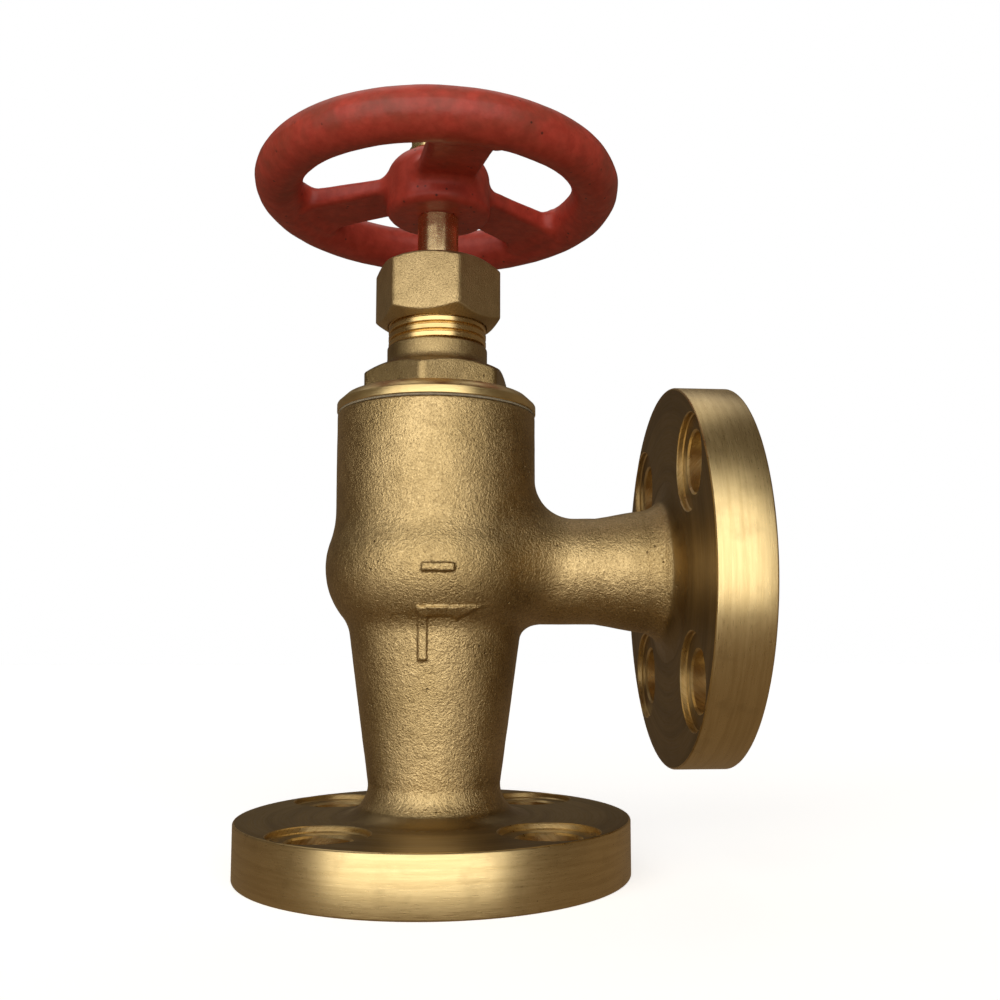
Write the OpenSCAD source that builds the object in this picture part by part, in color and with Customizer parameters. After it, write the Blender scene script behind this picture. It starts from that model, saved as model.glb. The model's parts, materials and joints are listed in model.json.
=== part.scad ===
// Flanged screw-down angle stop valve, nominal size 20, for a boat's sea water inlet.
// Millimetres. The origin is the centre of the inlet flange's face. +Z runs up the stem,
// +X points to the outlet flange.

/* [Flanges] */
// Outside diameter of both flanges
flange_d = 100; // [90:1:120]
// Thickness of both flanges
flange_t = 14; // [10:0.5:18]
// Distance from the centre of a bolt hole to the flange's rim
bolt_edge = 12.5; // [11:0.5:15]
// Diameter of the bolt holes
bolt_hole_d = 15; // [11:0.5:17]
// Number of bolt holes in each flange
bolt_count = 4; // [4:4:8]
// Diameter of the spot face round each bolt hole
spot_face_d = 24; // [18:0.5:24]
// Depth of the spot faces
spot_face_depth = 1.6; // [0.5:0.1:2]
// Distance from the crossing of the two flow axes to each flange's face
centre_to_face = 75; // [70:1:95]
// Diameter of the waterway at both flanges
bore_d = 20; // [17:0.5:24]

/* [Body] */
// Diameter of the cylindrical upper body
body_d = 52; // [50:0.5:63]
// Height from the outlet axis to the body's top face
body_top_h = 42.2; // [38:0.2:55]
// How far the bulge round the chamber stands out of the upper body
bulge_out = 2.45; // [1:0.05:4]
// Radius of the bulge's arc
bulge_r = 20; // [18:0.5:24]
// Angle below level at which the bulge runs into the inlet neck
bulge_down = 45.6; // [40:0.2:50]
// How far above the outlet axis the bulge is widest
bulge_rise = 1.9; // [0:0.1:3]
// Thickness of the inlet neck's metal at its narrowest
inlet_neck_wall = 6.9; // [6:0.1:8]
// Radius of the inlet neck's fillet into its flange
inlet_fillet = 8; // [5:0.5:10]
// Thickness of the outlet neck's metal
outlet_neck_wall = 4; // [3.5:0.1:6]
// How far the outlet neck widens towards its flange, on the radius
outlet_neck_flare = 2; // [1:0.1:3]
// Length over which the outlet neck widens
outlet_cone_h = 11; // [6:0.5:14]
// How far the outlet neck's casting sits above the outlet's own axis
outlet_neck_shift = 1.5; // [0:0.1:1.5]
// Radius of the outlet neck's fillet into its flange
outlet_fillet = 9; // [6:0.5:12]
// Thickness of the body's cast wall
wall = 4.6; // [3.5:0.1:5]

/* [Seat and disc] */
// Height of the seat's face below the outlet axis
seat_drop = 17; // [14:0.5:19]
// Width of the seat's ring-shaped face
seat_land = 2.5; // [1.5:0.1:3]
// Height of the seat's ring above the chamber's floor
seat_rise = 2; // [1:0.1:3]
// How far the disc is wider than the seat's face, on the radius
disc_over = 1.3; // [0.8:0.1:2]
// Thickness of the disc under the stem's button
disc_floor = 4; // [3:0.1:6]
// How far the stem's button stands out of the driving thread
button_out = 2; // [1.5:0.1:2.5]
// Height of the stem's button
button_h = 3; // [2:0.1:4]
// Height of the disc nut's threaded part
disc_nut_h = 3.8; // [3:0.1:5]
// Height of the disc nut's hexagon
disc_nut_hex_h = 3; // [2:0.1:4]
// Thickness of the disc's rim round its nut
disc_rim = 2.4; // [1.5:0.1:3]

/* [Bonnet] */
// Thickness of the body round the bonnet's threaded spigot
spigot_in = 5.5; // [5:0.1:7]
// Length of the bonnet's threaded spigot
spigot_h = 17; // [12:0.5:20]
// How far the bonnet's flange stands out of the body
bonnet_flange_out = 0.2; // [0:0.1:1]
// Height of the bonnet's flange
bonnet_flange_h = 4.1; // [3:0.1:6]
// Chamfer on the bonnet's flange
bonnet_flange_chamfer = 2.2; // [1:0.1:2.5]
// How far the flats of the bonnet's hexagon stand out of the thread above it
bonnet_hex_out = 4.5; // [3:0.1:5.5]
// Angle of the bonnet hexagon's first corner
bonnet_hex_turn = -41.7; // [-60:0.1:0]
// Height of the bonnet's hexagon
bonnet_hex_h = 7.2; // [6:0.1:10]
// Height of the bonnet's rough collar
collar_h = 6.6; // [4:0.1:9]
// Thickness of the neck round the packing, with its thread
neck_wall = 2.5; // [2:0.1:4]
// Length of the thread that the packing nut runs on
neck_thread_h = 13.4; // [11:0.1:16]
// Pitch of the packing nut's thread
neck_pitch = 2; // [1.5:0.5:3]
// Thickness of the bonnet's gasket
gasket_t = 0.5; // [0.5:0.1:1.5]
// How far the gasket's edge lies inside the body
gasket_in = 0.1; // [0:0.1:1]

/* [Stem and packing] */
// Diameter of the stem through the packing
stem_d = 11; // [9:0.1:13.2]
// How far the stem's driving thread stands out of the stem
screw_out = 1.5; // [1:0.1:2]
// Pitch of the stem's driving thread
screw_pitch = 3; // [2:0.5:4]
// How far the disc stands open
open_now = 3; // [0.5:0.5:6]
// How far the disc lifts from shut to fully open
lift = 7.5; // [6.5:0.5:9]
// Width of the packing rings, on the radius
packing_w = 5; // [4:0.1:5]
// Height of one packing ring
packing_h = 4.9; // [4:0.1:5]
// Length of the gland
gland_h = 9.4; // [8:0.1:12]
// Thickness of the bonnet's neck bush under the packing
neck_bush_h = 4; // [3:0.1:6]

/* [Packing nut] */
// How far the packing nut's flats stand out of its thread
packing_nut_wall = 2; // [1.8:0.1:5]
// Overall height of the packing nut
packing_nut_h = 16.4; // [14:0.2:20]
// Thickness of the packing nut's top
packing_nut_top = 3; // [2:0.1:4]
// Angle of the packing nut's first corner
packing_nut_turn = -73; // [-90:1:0]

/* [Handwheel] */
// Outside diameter of the handwheel
wheel_d = 97.2; // [85:0.2:125]
// Diameter of the rim's section
rim_d = 12.6; // [10:0.2:14]
// Diameter of the hub
hub_d = 28; // [24:0.5:32]
// Height of the hub
hub_h = 17.5; // [15:0.5:20]
// Height of the rim's centre above the hub's underside
rim_rise = 7.5; // [6:0.5:9]
// Number of spokes
spoke_count = 3; // [3:1:5]
// Width of the spokes
spoke_w = 15.5; // [10:0.5:16]
// Angle of the first spoke
spoke_turn = -80.5; // [-90:0.5:0]
// Gap between the packing nut and the hub, as the valve stands
hub_gap = 14; // [10.5:0.5:20]
// Height of the spokes' underside above the hub's, at the hub
spoke_under_hub = 6; // [4:0.1:7]
// Height of the spokes' underside above the hub's, at the rim
spoke_under_rim = 3.4; // [2:0.1:6]
// Height of the spokes' top above the hub's underside
spoke_top = 10.2; // [8.5:0.1:12]
// Width of the stem's square shank, whose corners are turned off with the stem
square_w = 8.2; // [7.6:0.1:8.6]
// Diameter of the stem's top thread, which passes the handwheel's square hole
top_thread_d = 8; // [6:0.5:8]
// Handwheel nut, across the flats
wheel_nut_af = 13; // [12:0.5:16]
// Angle of the handwheel nut's first corner
wheel_nut_turn = -2; // [-60:1:0]
// Height of the handwheel nut
wheel_nut_h = 6.5; // [5:0.1:8]
// Thickness of the handwheel's washer
washer_t = 1.5; // [1:0.1:2.5]

/* [Hidden] */

// One node stands for each packing ring
packing_count = 4;

// Fineness of round shapes, and a sliver that makes cuts run clean through
$fn = 96;
eps = 0.01;

// Radial clearances: a shaft that runs, a thread that is screwed home, a piece that drops in
running = 0.05;
screwed = 0.05;
loose = 0.3;

// Heights of the body
axis_z = centre_to_face;
body_top_z = axis_z + body_top_h;
seat_z = axis_z - seat_drop;
chamber_floor_z = seat_z - seat_rise;

// Bulge: an arc that ends on the upper body, with its centre on the flow axis' level
body_r = body_d / 2;
bulge_top_r = body_r + bulge_out;
bulge_centre_r = bulge_top_r - bulge_r;
bulge_z = axis_z + bulge_rise;
bulge_up = acos((body_r - bulge_centre_r) / bulge_r);
bore_r = bore_d / 2;
inlet_neck_r = bore_r + inlet_neck_wall;
outlet_neck_r = bore_r + outlet_neck_wall;

// Chamber: follows the bulge's arc one wall inside it, down to a floor round the disc
chamber_r = body_r - spigot_in;
chamber_arc_r = bulge_r - wall;
chamber_down = 50;
chamber_room = 1.2;
thread_relief = 1;
thread_run_out = 0.5;

// Bonnet heights
gasket_top_z = body_top_z + gasket_t;
bonnet_flange_z = gasket_top_z + bonnet_flange_h;
bonnet_hex_z = bonnet_flange_z + bonnet_hex_h;
collar_z = bonnet_hex_z + collar_h;
neck_top_z = collar_z + neck_thread_h;
spigot_z = body_top_z - spigot_h;
spigot_r = body_r - spigot_in;
crown_t = 4;
boss_drop = 3;

// Stem
stem_r = stem_d / 2;
screw_r = stem_r + screw_out;
boss_r = screw_r + wall;
packing_r = stem_r + packing_w;
neck_r = packing_r + neck_wall;
collar_out = 0.3;
collar_r = neck_r + collar_out;
box_floor_z = bonnet_flange_z + neck_bush_h;
back_seat_drop = 1.8;
back_seat_z = bonnet_flange_z - back_seat_drop;
packing_top_z = box_floor_z + packing_count * packing_h;
gland_top_z = packing_top_z + gland_h;
packing_nut_top_z = gland_top_z + packing_nut_top;
packing_nut_z = packing_nut_top_z - packing_nut_h;

// Disc, at its height as the valve stands
disc_z = seat_z + open_now + running;
button_z = disc_z + disc_floor + running;
button_r = screw_r + button_out;
disc_recess_r = button_r + loose;
disc_r = bore_r + seat_land + disc_over;
disc_nut_r = disc_r - disc_rim;
disc_nut_z = button_z + button_h + running;
disc_top_z = disc_nut_z + disc_nut_h;
disc_nut_top_z = disc_top_z + disc_nut_hex_h;
stem_neck_in = 1;
stem_neck_r = screw_r - stem_neck_in;
screw_z = disc_nut_top_z + open_now;
screw_top_z = back_seat_z - (lift - open_now) - running;
screw_depth = screw_pitch * 0.4;
bonnet_hex_af = 2 * (neck_r + bonnet_hex_out);
packing_nut_af = 2 * (neck_r + packing_nut_wall);

// Handwheel
hub_z = packing_nut_top_z + hub_gap;
hub_r = hub_d / 2;
hub_top_z = hub_z + hub_h;
rim_z = hub_z + rim_rise;
rim_r = rim_d / 2;
rim_centre_r = wheel_d / 2 - rim_r;
washer_out = 1.6;
washer_r = wheel_nut_af / 2 + washer_out;
wheel_nut_z = hub_top_z + washer_t;
stem_end_out = 1.8;
stem_top_z = wheel_nut_z + wheel_nut_h + stem_end_out;
shank_short = 1;

// Colours
bronze = [0.62, 0.49, 0.27];
machined_bronze = [0.78, 0.66, 0.36];
red_enamel = [0.58, 0.13, 0.10];
graphite = [0.18, 0.18, 0.19];
steel = [0.75, 0.68, 0.45];

// Points of an arc round (cx, cy) from angle a0 to a1
function arc(cx, cy, r, a0, a1, n = 16) =
    [for (i = [0 : n]) let (a = a0 + (a1 - a0) * i / n) [cx + r * cos(a), cy + r * sin(a)]];

// A round solid between two heights
module ring(r, z0, z1) {
    translate([0, 0, z0]) cylinder(r = r, h = z1 - z0);
}

// A square bar between two heights, for the shank and the handwheel's hole
module square_bar(z0, z1) {
    translate([-square_w / 2, -square_w / 2, z0]) cube([square_w, square_w, z1 - z0]);
}

// A hexagonal bar between two heights, across the flats af
module hexagon(af, z0, z1, turn = 0) {
    rotate([0, 0, turn]) translate([0, 0, z0]) cylinder(r = af / sqrt(3), h = z1 - z0, $fn = 6);
}

// A hexagonal bar whose corners are turned off at its top, and at its foot too if foot is true
module chamfered_hexagon(af, z0, z1, turn, foot) {
    corner_r = af / sqrt(3);
    face_r = af / 2 * 0.96;
    slope = 32;
    drop = (corner_r - face_r) * tan(slope);
    clear_r = corner_r + 0.1;
    intersection() {
        hexagon(af, z0, z1, turn);
        rotate_extrude() polygon([
            [0, z0], [foot ? face_r : clear_r, z0], [clear_r, z0 + (foot ? drop : eps)],
            [clear_r, z1 - drop], [face_r, z1], [0, z1]]);
    }
}

// The ridges of a screw thread, as rings with flat crests and sloping flanks.
// crest and root are the shares of the pitch that are flat there.
module ridged(r, z0, z1, pitch, depth, crest = 0.24, root = 0.2) {
    count = floor((z1 - z0) / pitch);
    groove = [[0, crest / 2], [depth, (1 - root) / 2], [depth, (1 + root) / 2], [0, 1 - crest / 2]];
    rotate_extrude() polygon(concat(
        [[0, z0], [r, z0]],
        [for (i = [0 : count - 1], p = groove) [r - p[0], z0 + (i + p[1]) * pitch]],
        [[r, z1], [0, z1]]));
}

// Places its children at each bolt hole, which straddle the centre lines
module at_bolts() {
    for (i = [0 : bolt_count - 1])
        rotate([0, 0, (i + 0.5) * 360 / bolt_count]) translate([flange_d / 2 - bolt_edge, 0, 0]) children();
}

// The bolt holes and spot faces of a flange that lies from z = 0 up
module bolt_holes() {
    at_bolts() {
        translate([0, 0, -eps]) cylinder(d = bolt_hole_d, h = flange_t + 2 * eps);
        translate([0, 0, flange_t - spot_face_depth]) cylinder(d = spot_face_d, h = inlet_fillet);
    }
}

// A flange plate with its rim's edges broken
module flange_plate() {
    edge = 0.6;
    rim = flange_d / 2;
    rotate_extrude() polygon([
        [0, 0], [rim - edge, 0], [rim, edge], [rim, flange_t - edge], [rim - edge, flange_t], [0, flange_t]]);
}

// Turns what is drawn up +Z so that it runs along +X from the outlet's face inwards
module at_outlet() {
    translate([centre_to_face, 0, axis_z]) rotate([0, -90, 0]) children();
}

module inlet_neck() {
    start_z = flange_t + inlet_fillet;
    bulge_foot = arc(bulge_centre_r, bulge_z, bulge_r, -bulge_down, bulge_up, 24);
    rotate_extrude() polygon(concat(
        [[0, flange_t - eps], [inlet_neck_r + inlet_fillet, flange_t - eps]],
        arc(inlet_neck_r + inlet_fillet, start_z, inlet_fillet, 270, 180),
        bulge_foot,
        [[body_r, body_top_z], [0, body_top_z]]));
}

module outlet_neck() {
    far = centre_to_face - flange_t;
    cone_to = centre_to_face - flange_t - outlet_fillet;
    cone_from = cone_to - outlet_cone_h;
    end_r = outlet_neck_r + outlet_neck_flare;
    translate([0, 0, axis_z + outlet_neck_shift]) rotate([0, 90, 0]) rotate_extrude() polygon(concat(
        [[0, 0], [outlet_neck_r, 0], [outlet_neck_r, cone_from]],
        arc(end_r + outlet_fillet, cone_to, outlet_fillet, 180, 90),
        [[0, far]]));
}

// Everything the body is hollowed by: waterways, chamber and the bonnet's thread
module body_hollow() {
    chamber_up = acos((chamber_r - bulge_centre_r) / chamber_arc_r);
    spigot_foot = spigot_z - thread_relief;
    difference() {
        rotate_extrude() polygon(concat(
            [[0, chamber_floor_z], [disc_r + chamber_room, chamber_floor_z]],
            arc(bulge_centre_r, bulge_z, chamber_arc_r, -chamber_down, chamber_up, 20),
            [[chamber_r, spigot_foot], [spigot_r + screwed, spigot_foot + thread_run_out],
             [spigot_r + screwed, body_top_z + eps], [0, body_top_z + eps]]));
        ring(bore_r + seat_land, chamber_floor_z - eps, seat_z);
    }
    ring(bore_r, -eps, seat_z + eps);
    translate([0, 0, axis_z]) rotate([0, 90, 0]) cylinder(r = bore_r, h = centre_to_face + eps);
}

module body() {
    color(bronze) difference() {
        union() {
            flange_plate();
            inlet_neck();
            at_outlet() flange_plate();
            outlet_neck();
        }
        bolt_holes();
        at_outlet() bolt_holes();
        body_hollow();
    }
}

module bonnet_gasket() {
    color(graphite) difference() {
        ring(body_r - gasket_in, body_top_z, gasket_top_z);
        ring(spigot_r + screwed, body_top_z - eps, gasket_top_z + eps);
    }
}

module bonnet() {
    edge = bonnet_flange_chamfer;
    flange_r = body_r + bonnet_flange_out;
    nose_z = spigot_z - boss_drop;
    color(machined_bronze) difference() {
        union() {
            ridged(spigot_r, spigot_z, gasket_top_z, neck_pitch, neck_pitch * 0.45);
            rotate_extrude() polygon([
                [0, gasket_top_z], [flange_r, gasket_top_z], [flange_r, bonnet_flange_z - edge],
                [flange_r - edge, bonnet_flange_z], [0, bonnet_flange_z]]);
            chamfered_hexagon(bonnet_hex_af, bonnet_flange_z - eps, bonnet_hex_z, bonnet_hex_turn, false);
            ring(collar_r, bonnet_hex_z - eps, collar_z);
            ridged(neck_r, collar_z - eps, neck_top_z, neck_pitch, neck_pitch * 0.5);
            ring(boss_r, nose_z, gasket_top_z);
        }
        // Hollow between the spigot and the stem nut's boss
        difference() {
            ring(spigot_r - wall, spigot_z - eps, gasket_top_z - crown_t);
            ring(boss_r, nose_z - 1, gasket_top_z);
        }
        ring(screw_r + running, nose_z - eps, back_seat_z);
        ring(stem_r + running, nose_z, neck_top_z);
        ring(packing_r, box_floor_z, neck_top_z + eps);
    }
}

module disc() {
    edge = 0.8;
    color(machined_bronze) difference() {
        rotate_extrude() polygon([
            [0, disc_z], [disc_r - edge, disc_z], [disc_r, disc_z + edge],
            [disc_r, disc_top_z - edge], [disc_r - edge, disc_top_z], [0, disc_top_z]]);
        ring(disc_recess_r, disc_z + disc_floor, disc_top_z + eps);
        ring(disc_nut_r, disc_nut_z, disc_top_z + eps);
    }
}

module disc_nut() {
    color(machined_bronze) difference() {
        union() {
            ring(disc_nut_r, disc_nut_z, disc_top_z);
            chamfered_hexagon(disc_nut_r * sqrt(3), disc_top_z - eps, disc_nut_top_z, 0, false);
        }
        ring(screw_r + loose, disc_nut_z - eps, disc_nut_top_z + eps);
    }
}

module stem() {
    color(machined_bronze) union() {
        ring(button_r, button_z, button_z + button_h);
        ring(stem_neck_r, button_z + button_h - eps, screw_z);
        ridged(screw_r, screw_z - eps, screw_top_z, screw_pitch, screw_depth);
        ring(stem_r, screw_top_z - eps, hub_z);
        intersection() {
            square_bar(hub_z - eps, hub_top_z - shank_short);
            ring(stem_r, hub_z - 1, hub_top_z);
        }
        ring(top_thread_d / 2, hub_top_z - shank_short - eps, stem_top_z);
    }
}

module packing_ring(i) {
    foot_z = box_floor_z + i * packing_h;
    color(graphite) difference() {
        ring(packing_r, foot_z, foot_z + packing_h);
        ring(stem_r + running, foot_z - eps, foot_z + packing_h + eps);
    }
}

module gland() {
    color(machined_bronze) difference() {
        ring(packing_r - running, packing_top_z, gland_top_z);
        ring(stem_r + running, packing_top_z - eps, gland_top_z + eps);
    }
}

module packing_nut() {
    color(machined_bronze) difference() {
        chamfered_hexagon(packing_nut_af, packing_nut_z, packing_nut_top_z, packing_nut_turn, true);
        ring(neck_r + running, packing_nut_z - eps, gland_top_z);
        ring(stem_r + loose, packing_nut_z, packing_nut_top_z + eps);
    }
}

// One spoke along +X: its underside drops from the hub to the rim
module spoke() {
    inner_r = square_w;
    level_to_r = hub_r + 2;
    rotate([90, 0, 0]) translate([0, 0, -spoke_w / 2]) linear_extrude(spoke_w) polygon([
        [inner_r, hub_z + spoke_under_hub], [level_to_r, hub_z + spoke_under_hub],
        [rim_centre_r, hub_z + spoke_under_rim],
        [rim_centre_r, hub_z + spoke_top], [inner_r, hub_z + spoke_top]]);
}

module handwheel() {
    shoulder = 4;
    edge = 0.6;
    color(red_enamel) difference() {
        union() {
            translate([0, 0, rim_z]) rotate_extrude() translate([rim_centre_r, 0]) circle(r = rim_r);
            rotate_extrude() polygon(concat(
                [[0, hub_z], [hub_r - edge, hub_z], [hub_r, hub_z + edge]],
                arc(hub_r - shoulder, hub_top_z - shoulder, shoulder, 0, 90, 8),
                [[0, hub_top_z]]));
            for (i = [0 : spoke_count - 1]) rotate([0, 0, spoke_turn + i * 360 / spoke_count]) spoke();
        }
        square_bar(hub_z - eps, hub_top_z + eps);
    }
}

module handwheel_washer() {
    color(steel) difference() {
        ring(washer_r, hub_top_z, wheel_nut_z);
        ring(top_thread_d / 2, hub_top_z - eps, wheel_nut_z + eps);
    }
}

module handwheel_nut() {
    color(steel) difference() {
        chamfered_hexagon(wheel_nut_af, wheel_nut_z, wheel_nut_z + wheel_nut_h, wheel_nut_turn, true);
        ring(top_thread_d / 2, wheel_nut_z - eps, wheel_nut_z + wheel_nut_h + eps);
    }
}

body();
bonnet_gasket();
bonnet();
disc();
disc_nut();
stem();
packing_ring(0);  // packing_ring_1
packing_ring(1);  // packing_ring_2
packing_ring(2);  // packing_ring_3
packing_ring(3);  // packing_ring_4
gland();
packing_nut();
handwheel();
handwheel_washer();
handwheel_nut();
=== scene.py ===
"""Looks for the flanged angle stop valve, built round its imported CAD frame.

Lengths in this script are millimetres until they reach Blender, which gets metres. The frame's
origin is the centre of the inlet flange's face, +Z runs up the stem and +X to the outlet flange.
"""
import json
import math

import bmesh
import bpy
import numpy as np
from mathutils import Matrix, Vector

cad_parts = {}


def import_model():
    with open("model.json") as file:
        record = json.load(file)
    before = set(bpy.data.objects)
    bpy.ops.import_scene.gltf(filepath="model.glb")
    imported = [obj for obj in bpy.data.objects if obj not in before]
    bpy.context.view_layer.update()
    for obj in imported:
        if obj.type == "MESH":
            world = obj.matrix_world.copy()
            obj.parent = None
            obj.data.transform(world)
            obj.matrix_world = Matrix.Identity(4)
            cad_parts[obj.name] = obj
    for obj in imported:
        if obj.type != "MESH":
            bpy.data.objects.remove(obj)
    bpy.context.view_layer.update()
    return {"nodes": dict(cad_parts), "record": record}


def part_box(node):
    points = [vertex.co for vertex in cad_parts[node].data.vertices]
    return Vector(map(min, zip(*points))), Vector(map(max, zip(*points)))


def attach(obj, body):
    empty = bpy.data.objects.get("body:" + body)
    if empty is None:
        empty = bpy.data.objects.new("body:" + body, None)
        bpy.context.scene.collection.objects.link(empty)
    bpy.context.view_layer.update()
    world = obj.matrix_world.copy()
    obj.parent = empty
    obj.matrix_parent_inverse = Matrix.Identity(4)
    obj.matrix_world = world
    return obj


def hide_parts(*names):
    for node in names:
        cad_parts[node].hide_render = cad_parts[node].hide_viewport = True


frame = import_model()
MM = 0.001
TAU = 2 * math.pi


# ---------------------------------------------------------------------------
# Sizes read from the frame, in millimetres
# ---------------------------------------------------------------------------

def node_box(node):
    """Lowest and highest corner of a CAD node in millimetres."""
    low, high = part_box(node)
    return np.array(low) / MM, np.array(high) / MM


def mount(name):
    """The record's mount of that name."""
    return next(m for m in frame["record"]["mounts"] if m["name"] == name)


BODY_HIGH = node_box("body")[1]
FLANGE_R = BODY_HIGH[1] - 0.02  # just inside the CAD box
OUTLET_X = BODY_HIGH[0]
AXIS_Z = mount("outlet_bolts")["pos_m"][2] / MM
BOLT_CIRCLE_R = mount("inlet_bolts")["dims"]["pcd_mm"] / 2
BOLT_R = mount("inlet_bolts")["dims"]["hole_r_mm"]
BOLT_COUNT = mount("inlet_bolts")["dims"]["count"]
BORE_R = mount("inlet_bore")["dims"]["r_mm"]
SEAT_Z = mount("inlet_bore")["dims"]["length_mm"]
BODY_TOP_Z = node_box("bonnet_gasket")[0][2]
GASKET_TOP_Z = node_box("bonnet_gasket")[1][2]
BODY_R = node_box("bonnet_gasket")[1][0] + 0.1
BONNET_LOW, BONNET_HIGH = node_box("bonnet")
BONNET_R = BONNET_HIGH[0]
NUT_LOW, NUT_HIGH = node_box("packing_nut")
WHEEL_LOW, WHEEL_HIGH = node_box("handwheel")
STEM_LOW, STEM_HIGH = node_box("stem")
GLAND_HIGH = node_box("gland")[1]
WASHER_LOW, WASHER_HIGH = node_box("handwheel_washer")
WHEEL_NUT_LOW, WHEEL_NUT_HIGH = node_box("handwheel_nut")

# Sizes that the frame's boxes don't give
FLANGE_T = 14.0
SPOT_R = 12.0
SPOT_DEPTH = 1.6
RIM_EDGE = 0.6  # rounding of a flange's two rim edges
NECK_R = 16.9
NECK_FILLET = 8.0
BULGE_R = 20.0
BULGE_TOP_R = 28.45
BULGE_Z = AXIS_Z + 1.9
OUTLET_NECK_R = 14.0
OUTLET_FLARE = 2.0
OUTLET_CONE_H = 11.0
OUTLET_SHIFT = 1.5  # the casting's branch sits this much above its bore
OUTLET_FILLET = 8.2
WALL = 4.6
SPIGOT_IN = 5.5  # from the body's outside to the hole for the bonnet
SEAT_R = 12.5
CHAMBER_FLOOR_R = 15.0
SCREW_R = 7.0
SCREW_PITCH = 3.0
SCREW_LOW_Z, SCREW_HIGH_Z = 77.95, 115.45
THREAD_R = 13.0
THREAD_PITCH = 2.0
STEM_R = 5.5


# ---------------------------------------------------------------------------
# Meshes
# ---------------------------------------------------------------------------

def piece(name, points, faces, material, sharp=math.radians(40)):
    """A mesh object from points in millimetres, smooth except where it turns more than sharp."""
    mesh = bpy.data.meshes.new(name)
    faces = faces.tolist() if isinstance(faces, np.ndarray) else faces
    mesh.from_pydata((np.asarray(points) * MM).tolist(), [], faces)
    shell = bmesh.new()
    shell.from_mesh(mesh)
    bmesh.ops.recalc_face_normals(shell, faces=shell.faces)
    shell.to_mesh(mesh)
    shell.free()
    mesh.polygons.foreach_set("use_smooth", [True] * len(mesh.polygons))
    mesh.set_sharp_from_angle(angle=sharp)
    obj = bpy.data.objects.new(name, mesh)
    bpy.context.scene.collection.objects.link(obj)
    mesh.materials.append(material)
    return obj


def arc(cx, cy, r, a0, a1, n=12):
    """Points of an arc round (cx, cy), from angle a0 to a1 in degrees."""
    angles = np.radians(np.linspace(a0, a1, n + 1))
    return [(cx + r * math.cos(a), cy + r * math.sin(a)) for a in angles]


def dense(line, step):
    """The same line with points no further apart than step."""
    out = []
    for start, end in zip(line, line[1:]):
        a, b = np.array(start), np.array(end)
        n = max(1, int(math.ceil(np.linalg.norm(b - a) / step)))
        out += [tuple(a + (b - a) * k / n) for k in range(n)]
    return out + [line[-1]]


def spun(name, outline, count, material, shape=None, solid=False, sharp=math.radians(40)):
    """Turns an outline of (r, z) points round the Z axis. shape(angle, r, z) may change the radius.

    The outline is a closed loop, or with solid=True an open one from the axis to the axis.
    """
    outline = np.array(outline)
    rows = outline[1:-1] if solid else outline
    angle = np.arange(count) * TAU / count
    r = np.repeat(rows[:, 0][:, None], count, axis=1)
    z = np.repeat(rows[:, 1][:, None], count, axis=1)
    a = np.repeat(angle[None, :], len(rows), axis=0)
    if shape is not None:
        r, z = shape(a, r, z)
    points = np.stack([r * np.cos(a), r * np.sin(a), z], -1).reshape(-1, 3)
    faces = []
    last = len(rows) - 1 if solid else len(rows)
    for i in range(last):
        j = (i + 1) % len(rows)
        for k in range(count):
            m = (k + 1) % count
            faces.append((i * count + k, i * count + m, j * count + m, j * count + k))
    if solid:
        foot, top = len(points), len(points) + 1
        points = np.vstack([points, [0, 0, outline[0][1]], [0, 0, outline[-1][1]]])
        end = (len(rows) - 1) * count
        faces += [(foot, (k + 1) % count, k) for k in range(count)]
        faces += [(top, end + k, end + (k + 1) % count) for k in range(count)]
    return piece(name, points, faces, material, sharp)


def soft_min(a, b, k):
    """The smaller of a and b, rounded over a width of k."""
    h = np.clip(0.5 + 0.5 * (b - a) / k, 0, 1)
    return b + (a - b) * h - k * h * (1 - h)


def hexagon_radius(angle, flats_r, turn, rounding):
    """Radius of a hexagon whose flats are flats_r from its axis, with slightly rounded corners."""
    local = (angle - math.radians(turn)) % (TAU / 6) - TAU / 12
    flat = flats_r / np.cos(local)
    corner = flats_r / math.cos(TAU / 12) - rounding
    return soft_min(flat, corner + 0 * flat, rounding)


# ---------------------------------------------------------------------------
# Solid fields: negative inside, in millimetres
# ---------------------------------------------------------------------------

def outline_field(outline, low, high, step=0.2):
    """A function (r, z) -> distance to a closed outline, looked up in a table made once."""
    loop = np.array(outline)
    r = np.arange(low[0], high[0] + step, step)
    z = np.arange(low[1], high[1] + step, step)
    grid = np.stack(np.meshgrid(r, z, indexing="ij"), -1)
    best = np.full(grid.shape[:2], 1e9)
    inside = np.zeros(grid.shape[:2], bool)
    for a, b in zip(loop, np.roll(loop, -1, axis=0)):
        edge = b - a
        rel = grid - a
        t = np.clip((rel @ edge) / max(edge @ edge, 1e-12), 0, 1)
        best = np.minimum(best, np.linalg.norm(rel - t[..., None] * edge, axis=-1))
        crosses = (a[1] > grid[..., 1]) != (b[1] > grid[..., 1])
        with np.errstate(divide="ignore", invalid="ignore"):
            at = a[0] + (grid[..., 1] - a[1]) / (b[1] - a[1]) * (b[0] - a[0])
        inside ^= crosses & (grid[..., 0] < at)
    table = np.where(inside, -best, best)

    def look_up(rr, zz):
        x = np.clip((rr - low[0]) / step, 0, len(r) - 1.001)
        y = np.clip((zz - low[1]) / step, 0, len(z) - 1.001)
        i, j = x.astype(int), y.astype(int)
        fx, fy = x - i, y - j
        return ((table[i, j] * (1 - fx) + table[i + 1, j] * fx) * (1 - fy)
                + (table[i, j + 1] * (1 - fx) + table[i + 1, j + 1] * fx) * fy)
    return look_up


def round_union(a, b, radius):
    """Both solids, with a fillet of that radius where they meet."""
    u, v = np.maximum(radius - a, 0), np.maximum(radius - b, 0)
    return np.maximum(radius, np.minimum(a, b)) - np.hypot(u, v)


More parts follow.
